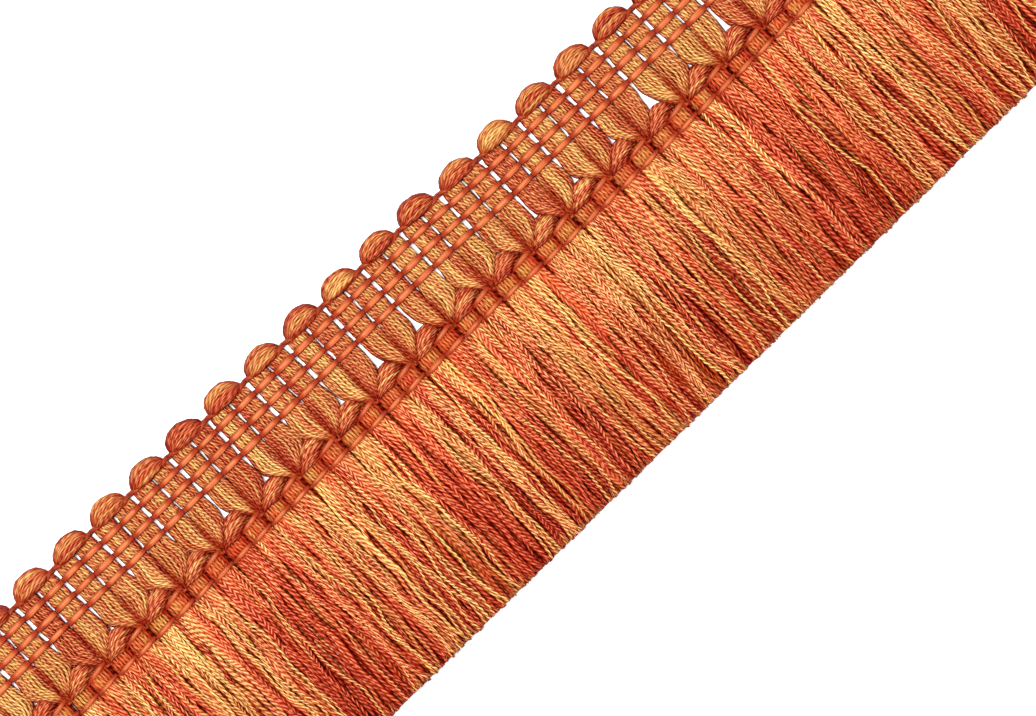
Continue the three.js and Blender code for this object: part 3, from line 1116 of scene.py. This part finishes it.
def strandDyes(perCell, spread):
    # strands come in runs of a few alike, gold, salmon or rust, inside broader bands
    count = cellCount * perCell
    x = np.arange(count) * cellPitch / perCell
    base = strandDye["middle"] + waves(x, *strandDye["bands"])
    base = base + np.repeat(dice.normal(0, strandDye["cellSpread"], cellCount), perCell)
    run = np.zeros(count)
    for index in range(1, count):
        fresh = dice.uniform() < strandDye["fresh"]
        run[index] = dice.normal(0, spread) if fresh else run[index - 1] + dice.normal(0, strandDye["near"])
    base = base + run
    ends = np.stack([base, base + dice.normal(0, strandDye["plies"], count)], axis=1)
    drift = np.cumsum(dice.normal(*strandDye["drift"], (count, strandDye["places"], 1)), axis=1)
    tones = ends[:, None] + drift
    shares = np.array(strandDye["boundSpread"])
    tones[:, :2] = strandDye["boundMiddle"] + shares * (tones[:, :2] - strandDye["middle"])
    return np.clip(tones, 0.0, 1.0)


def bindSkirt(name, groups):
    joinGroups(name, groups, skirtMaterial, ["skirt"])


def dropOf(paths):
    return trim["lobeTop"] - paths[..., 1]


front, frontShades, frontTapers = strandPaths(**layers["front"])
frontDyes = strandDyes(layers["front"]["perCell"], strandDye["frontSpread"])
frontRelief = np.clip(dice.normal(1.0, skirt["reliefUneven"], (len(front), 1)), *skirt["reliefLimits"])
frontRelief = frontRelief * (1 - fadeOut(dropOf(front), *skirt["boundRelief"]))
halfway = len(front) // 2
for side, part in (("left", slice(0, halfway)), ("right", slice(halfway, None))):
    bindSkirt(f"skirt_front_{side}", mixedGroups(
        front[part], frontDyes[part], skirt["turns"], skirt["crossed"], shade=frontShades[part],
        taper=frontTapers[part], relief=frontRelief[part], **skirt["size"]))


flyer = {
    "count": 84,
    "size": {"wide": 0.42, "high": 0.24},
    "dyes": (0.78, 0.16, 0.1),
    "endMargin": 4.0,
    "drops": (29.8, 34.0),
    "points": (8, 60),
    "tipShort": 0.4,
    "drift": 1.7,
    "wander": ((33.0, 15.0, 7.0), (0.7, 0.3, 0.1)),
    "wanderStarts": (30.0, 42.0),
    "height": 2.4,
    "rise": (0.65, 31.0, 37.0),
    "fall": 0.3,
    "bob": ((19.0,), (0.12,)),
    "rootShade": (0.5, 30.0, 32.0),
    "tipShade": 0.15,
}


def flyerPaths():
    # single strands that stray over their neighbours
    top, low = flyer["drops"]
    rootPoints, freePoints = flyer["points"]
    free = np.linspace(low, trim["tipDrop"] - flyer["tipShort"], freePoints)[1:]
    drop = np.concatenate([np.linspace(top, low, rootPoints), free])
    down = (drop - skirt["bound"]) / skirt["free"]
    end = halfLength - flyer["endMargin"]
    paths, shades = [], []
    for start in dice.uniform(-end, end, flyer["count"]):
        x = start + dice.normal(0, flyer["drift"]) * np.clip(down, 0, 1) ** 1.5
        x = x + waves(drop, *flyer["wander"], dice.uniform(0, 1, 3)) * smooth(drop, *flyer["wanderStarts"])
        z = flyer["height"] + fade(drop, *flyer["rise"]) - flyer["fall"] * down
        z = z + waves(drop, *flyer["bob"], (dice.uniform(),))
        paths.append(atDrop(x, drop, z))
        shades.append(1.0 - fadeOut(drop, *flyer["rootShade"]) - flyer["tipShade"] * down)
    return np.array(paths), np.clip(np.array(shades), 0, 1)


flyers, flyerShades = flyerPaths()
flyerDyes = dyes(len(flyers), *flyer["dyes"])
bindSkirt("skirt_flyers", mixedGroups(flyers, flyerDyes, skirt["turns"], shade=flyerShades,
                                      **flyer["size"]))


# The middle and back layers are plainer and thicker, and close the gaps between the front strands
plainLayer = {
    "middle": {"wide": 0.58, "high": 0.4, "turn": 3.1, "step": 1.0},
    "middleSpread": 0.18,
    "middleShade": (0.15, 33.0, 48.0),
    "back": {"wide": 0.72, "high": 0.5, "turn": 2.9, "step": 2.0},
    "backSpread": 0.15,
    "backLight": 0.7,
}
middle, middleShades, middleTapers = strandPaths(**layers["middle"])
middleShades = middleShades * (1.0 - fade(dropOf(middle), *plainLayer["middleShade"]))
middleDyes = strandDyes(layers["middle"]["perCell"], plainLayer["middleSpread"])
bindSkirt("skirt_middle", [
    yarnGroup(middle, tones=middleDyes, shade=middleShades, taper=middleTapers, **plainLayer["middle"])])
back, backShades, backTapers = strandPaths(**layers["back"])
backShades = backShades * plainLayer["backLight"]
backDyes = strandDyes(layers["back"]["perCell"], plainLayer["backSpread"])
bindSkirt("skirt_back", [
    yarnGroup(back, tones=backDyes, shade=backShades, taper=backTapers, **plainLayer["back"])])


fray = {
    "perTip": 3,
    "form": {"wide": 0.12, "high": 0.1, "sides": 3, "twist": 0, "step": 0.8},
    "dyes": (0.75, 0.2, 0.0),
    "length": (0.8, 2.2),
    "past": (-0.4, 0.3),  # how far a fibre ends before or after its strand's cut end
    "splay": 0.35,
    "above": 0.2,
    "heights": (0.2, 3.4),
    "furthest": 0.4,
    "taper": 0.5,
}


def frayPaths():
    t = np.linspace(0, 1, 5)
    lowest = trim["lobeTop"] - trim["tipDrop"] - fray["furthest"]
    paths, tapers = [], []
    for path in front:
        foot, before = path[-1], path[-6]
        ahead = (foot - before) / np.linalg.norm(foot - before)
        for _ in range(fray["perTip"]):
            start = dice.uniform(*fray["length"])
            base = foot - ahead * start
            reach = start + dice.uniform(*fray["past"])
            x = base[0] + ahead[0] * reach * t + dice.normal(0, fray["splay"]) * t ** 1.6
            y = np.maximum(base[1] + ahead[1] * reach * t, lowest)
            z = np.clip(base[2] + fray["above"] + dice.normal(0, fray["splay"]) * t, *fray["heights"])
            paths.append(np.stack([x, y, z], axis=1))
            tapers.append(1 - fray["taper"] * t)
    return np.array(paths), np.array(tapers)


fibres, fibreTapers = frayPaths()
fibreDyes = dyes(len(fibres), *fray["dyes"])
bindSkirt("skirt_fray", [yarnGroup(fibres, tones=fibreDyes, taper=fibreTapers, **fray["form"])])
print("skirt made")


# Floor, light and surroundings
studio = {
    "paper": (0.93, 0.93, 0.935, 1.0),
    "paperRoughness": 0.9,
    "paperGloss": 0.1,
    "paperGlow": (0.78, 0.88, 1.0, 1.0),
    "glowStrength": 0.4,  # the paper is lit from below, as a light table is
    "reach": 30.0,  # in metres, as the spots of the lights are
    "below": 0.02,  # keeps the paper clear of the trim's underside
    "sky": (1.0, 1.0, 1.0, 1.0),
    "skyStrength": 0.72,
    "key": {"spot": (-0.2, 0.32, 1.5), "size": 0.4, "power": 34.0},
    "fill": {"spot": (0.9, -0.9, 1.5), "size": 1.4, "power": 8.0},
}


def layPaper():
    reach = studio["reach"]
    corners = [(-reach, -reach, 0), (reach, -reach, 0), (reach, reach, 0), (-reach, reach, 0)]
    mesh = bpy.data.meshes.new("floor")
    mesh.from_pydata(corners, [], [(0, 1, 2, 3)])
    floor = bpy.data.objects.new("floor", mesh)
    floor.location = (0, 0, -studio["below"] * mm)
    bpy.context.collection.objects.link(floor)
    material = bpy.data.materials.new("paper")
    material.use_nodes = True
    shader = material.node_tree.nodes["Principled BSDF"]
    shader.inputs["Base Color"].default_value = studio["paper"]
    shader.inputs["Roughness"].default_value = studio["paperRoughness"]
    shader.inputs["Specular IOR Level"].default_value = studio["paperGloss"]
    shader.inputs["Emission Color"].default_value = studio["paperGlow"]
    shader.inputs["Emission Strength"].default_value = studio["glowStrength"]
    mesh.materials.append(material)


def lightStudio():
    world = bpy.data.worlds.new("softSky")
    world.use_nodes = True
    sky = world.node_tree.nodes["Background"]
    sky.inputs["Color"].default_value = studio["sky"]
    sky.inputs["Strength"].default_value = studio["skyStrength"]
    bpy.context.scene.world = world
    for name in ("key", "fill"):
        setting = studio[name]
        light = bpy.data.lights.new(name, "AREA")
        light.size = setting["size"]
        light.energy = setting["power"]
        lamp = bpy.data.objects.new(name, light)
        lamp.location = setting["spot"]
        away = np.array(setting["spot"])  # each light faces the origin
        tip = math.acos(away[2] / np.linalg.norm(away))
        lamp.rotation_euler = (tip, 0, math.atan2(away[0], -away[1]))
        bpy.context.collection.objects.link(lamp)
    bpy.context.scene.view_settings.view_transform = "Standard"


layPaper()
lightStudio()
print("studio made")
